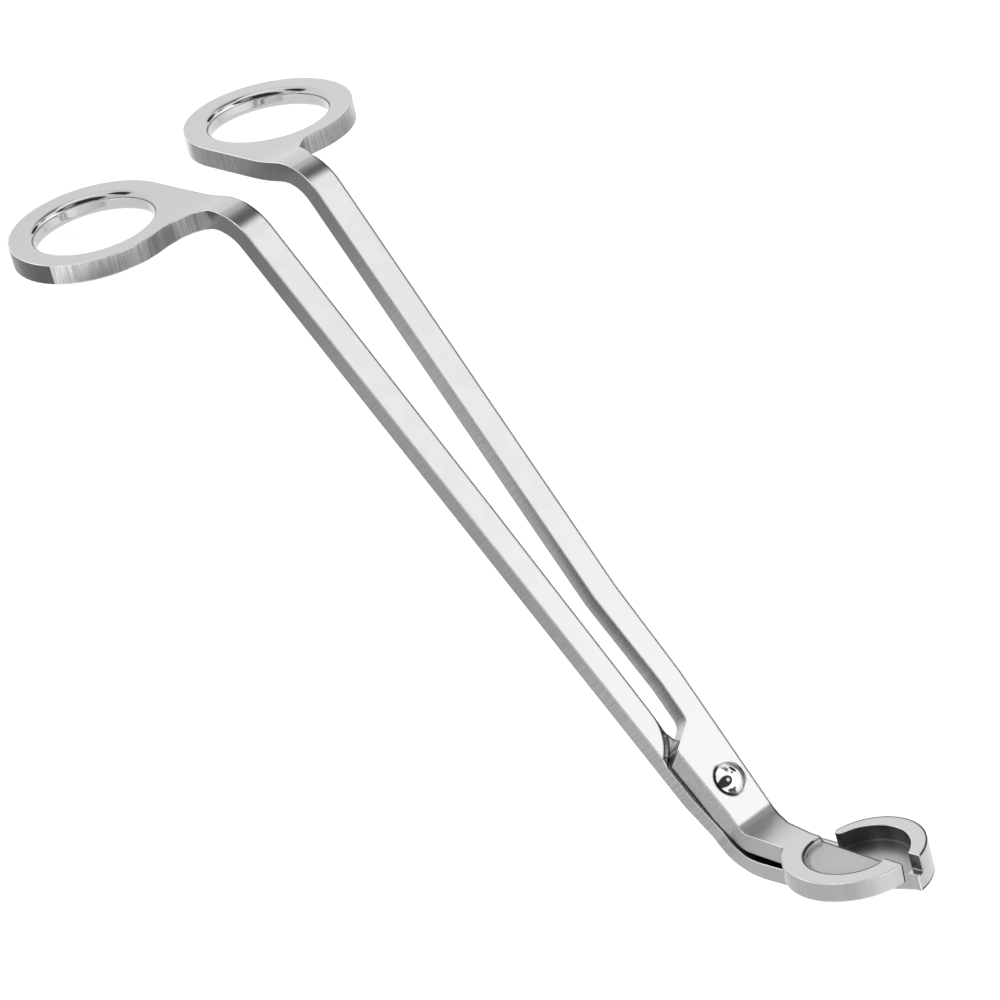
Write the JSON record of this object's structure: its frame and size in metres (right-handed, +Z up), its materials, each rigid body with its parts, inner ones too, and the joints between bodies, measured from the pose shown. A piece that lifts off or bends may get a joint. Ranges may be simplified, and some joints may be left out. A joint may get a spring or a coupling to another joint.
{
  "type": "wick trimmer",
  "caption": "Long-armed steel scissors with two angled finger rings and a short raised head whose curved blades cut a wick and hold the trimmings.",
  "frame": {"origin": "under the middle of the whole tool in its resting pose, level with the lowest point of the finger rings", "axes": "+Z up along the pivot, +Y along the arms from the rings to the head, +X to the side of the lower lever's ring"},
  "size_m": [0.0708, 0.185, 0.0629],
  "materials": {
    "lever_steel": "polished stainless steel, finely brushed along the sides",
    "rivet_steel": "mirror polished"
  },
  "bodies": {
    "lower": {"lever_lower": "lever_steel", "rivet_pivot": "rivet_steel"},
    "upper": {"lever_upper": "lever_steel"}
  },
  "joints": [
    {"name": "lever_pivot", "type": "hinge", "parent": "lower", "child": "upper", "pos_m": [-0.0017, 0.05839, 0.03609], "axis": [0, 0, -1], "range_deg": [-3.6, 40]}
  ]
}
